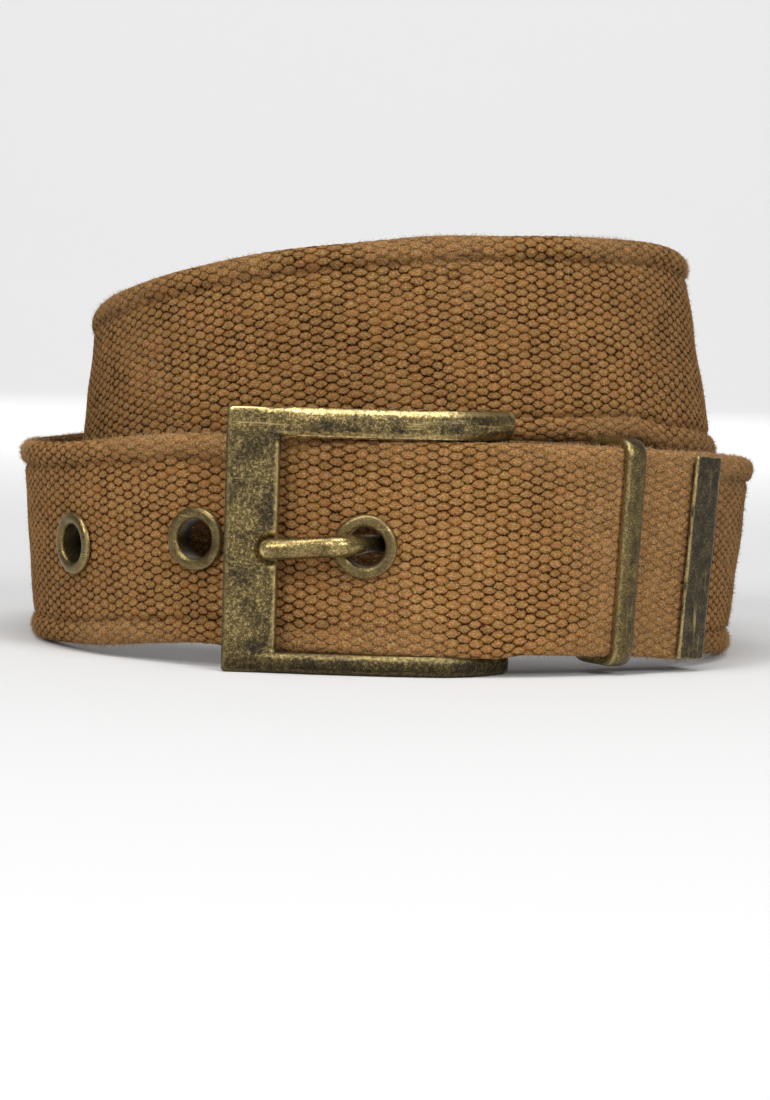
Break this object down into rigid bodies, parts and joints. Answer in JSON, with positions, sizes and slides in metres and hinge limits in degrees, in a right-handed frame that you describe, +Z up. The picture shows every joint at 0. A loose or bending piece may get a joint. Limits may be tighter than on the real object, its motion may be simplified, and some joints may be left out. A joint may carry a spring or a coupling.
{
  "type": "canvas web belt",
  "caption": "Canvas web belt, fastened and coiled in two turns, with a square metal prong buckle, metal eyelets, keeper loop and tip cap.",
  "frame": {"origin": "middle of the coil's footprint, at the height of the surface that it rests on", "axes": "+Z up across the strap's width, -Y to the front with the buckle, +X to the right towards the strap's tip"},
  "size_m": [0.1434, 0.1602, 0.0799],
  "materials": {
    "canvas_webbing": "coarse tan-brown cotton webbing, matt and slightly fuzzy, rolled rims along both edges",
    "antique_brass_buckle": "dark mottled antique brass, polished through on the edges",
    "antique_brass_prong": "dark antique brass rod, satin",
    "antique_brass_eyelet": "antique brass, bright rolled rim round a dark groove",
    "antique_brass_keeper": "dark antique brass band, satin",
    "antique_brass_cap": "dark antique brass sheet, streaked along its length"
  },
  "bodies": {
    "root": {"webbing_strap": "canvas_webbing", "buckle_frame": "antique_brass_buckle", "buckle_prong": "antique_brass_prong", "eyelet_1": "antique_brass_eyelet", "eyelet_2": "antique_brass_eyelet", "eyelet_3": "antique_brass_eyelet", "keeper_loop": "antique_brass_keeper", "tip_cap": "antique_brass_cap"}
  },
  "joints": []
}
